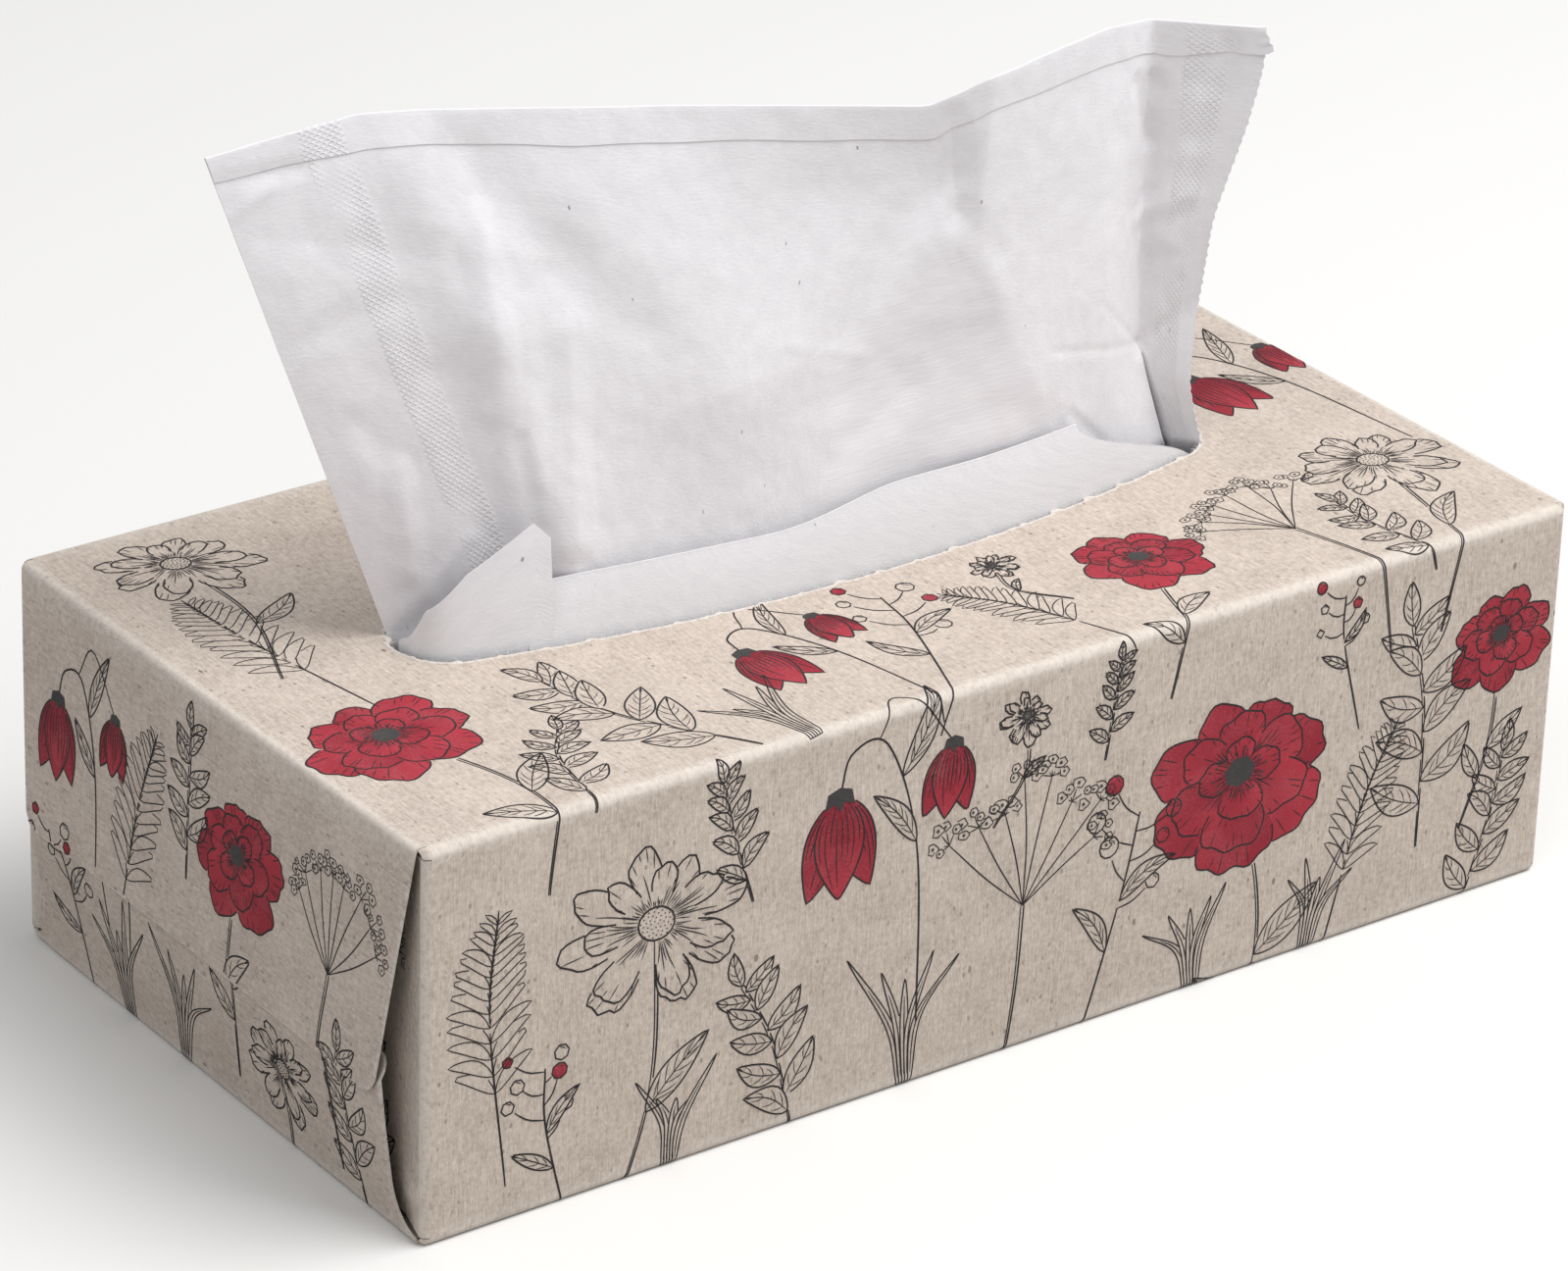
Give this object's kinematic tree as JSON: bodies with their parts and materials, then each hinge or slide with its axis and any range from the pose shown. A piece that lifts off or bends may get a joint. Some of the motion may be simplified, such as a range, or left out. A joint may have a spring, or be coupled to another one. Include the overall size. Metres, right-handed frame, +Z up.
{
  "type": "tissue box",
  "caption": "Oblong folded carton of facial tissues with glued end flaps and an oval slot in the top, from which a white sheet stands fanned out.",
  "frame": {"origin": "middle of the carton's underside, on the surface it stands on, which is also the bottom centre of the whole part", "axes": "+X along the carton's length, +Y from the front panel to the back panel, +Z up"},
  "size_m": [0.225, 0.118, 0.1562],
  "materials": {
    "board": "uncoated recycled board, matte, pale brown with fine specks",
    "stack_tissue": "soft matte white tissue in folded layers",
    "sheet_tissue": "soft matte white tissue, thin and slightly see-through"
  },
  "bodies": {
    "root": {"carton": "board", "tissue_stack": "stack_tissue", "pulled_tissue": "sheet_tissue", "next_tissue": "sheet_tissue"}
  },
  "joints": []
}
